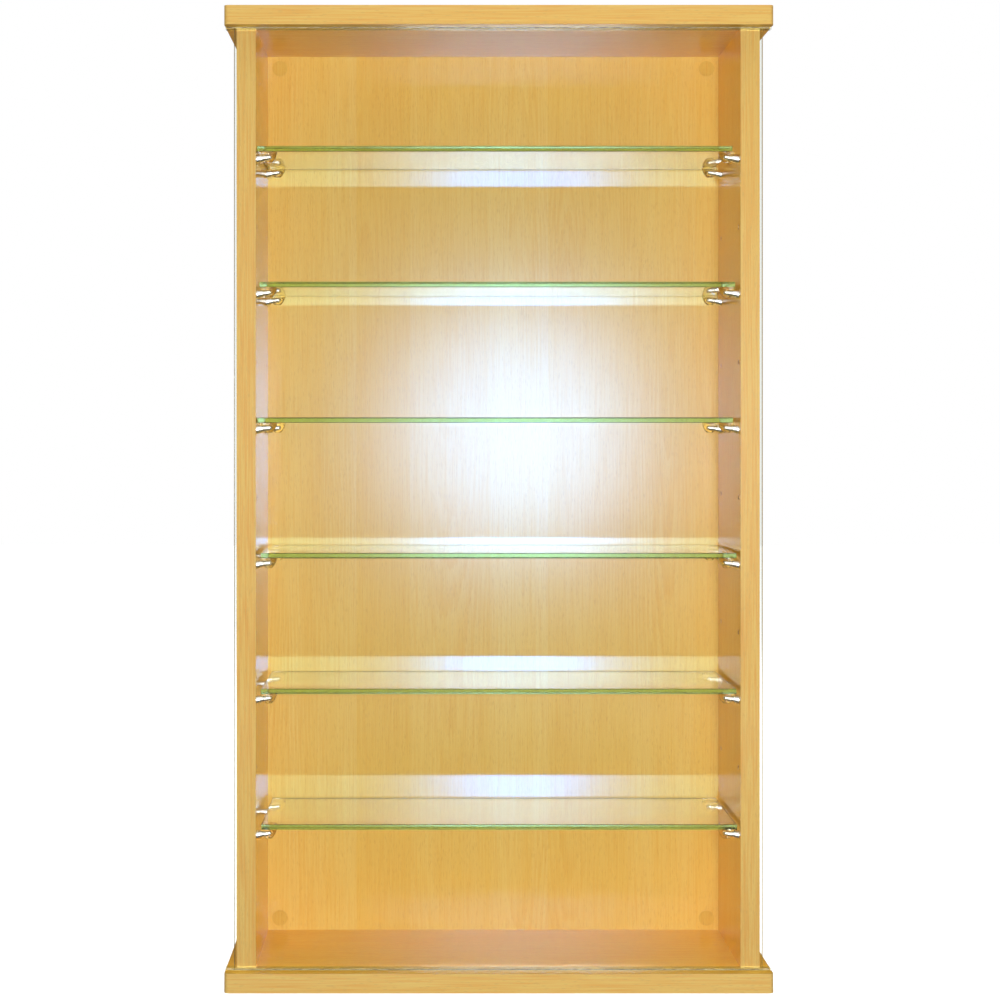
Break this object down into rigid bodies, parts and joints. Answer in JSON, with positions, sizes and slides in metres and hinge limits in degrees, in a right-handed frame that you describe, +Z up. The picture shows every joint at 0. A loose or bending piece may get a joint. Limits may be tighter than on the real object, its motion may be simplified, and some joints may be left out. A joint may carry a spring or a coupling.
{
  "type": "wall mounted showcase",
  "caption": "Tall shallow wooden display cabinet for a wall, with glass shelves on pins and a clear front pane that slides sideways.",
  "frame": {"origin": "middle of the cabinet's footprint, on the underside of the base board", "axes": "+Z up, -Y out of the glazed front, +Y towards the wall, +X to the right of someone facing the front"},
  "size_m": [0.512, 0.16, 0.92],
  "materials": {
    "board": "beech-effect melamine on chipboard, satin",
    "edge_band": "beech-effect edge band, satin",
    "channel": "translucent grey PVC, extruded",
    "pane_glass": "clear float glass, ground edges",
    "shelf_glass": "clear float glass, green ground edges",
    "pin": "nickel-plated steel, turned",
    "pad": "clear soft PVC, moulded",
    "cover_disc": "wood-effect adhesive disc",
    "dowel": "raw beech, fluted stock",
    "screw": "zinc-plated steel"
  },
  "bodies": {
    "carcass": {"top_board": "board", "base_board": "board", "left_side_panel": "board", "right_side_panel": "board", "back_panel": "board", "top_board_band": "edge_band", "base_board_band": "edge_band", "left_side_band": "edge_band", "right_side_band": "edge_band", "upper_channel": "channel", "lower_channel": "channel", "cover_discs": "cover_disc", "side_panel_dowels": "dowel", "back_panel_dowels": "dowel", "carcass_screws": "screw", "glass_shelf_1": "shelf_glass", "shelf_1_pins": "pin", "shelf_1_pads": "pad", "glass_shelf_2": "shelf_glass", "shelf_2_pins": "pin", "shelf_2_pads": "pad", "glass_shelf_3": "shelf_glass", "shelf_3_pins": "pin", "shelf_3_pads": "pad", "glass_shelf_4": "shelf_glass", "shelf_4_pins": "pin", "shelf_4_pads": "pad", "glass_shelf_5": "shelf_glass", "shelf_5_pins": "pin", "shelf_5_pads": "pad", "glass_shelf_6": "shelf_glass", "shelf_6_pins": "pin", "shelf_6_pads": "pad"},
    "pane": {"front_pane": "pane_glass"}
  },
  "joints": [
    {"name": "pane_slide", "type": "slide", "parent": "carcass", "child": "pane", "axis": [1, 0, 0], "range_m": [-0.44, 0.44]}
  ]
}
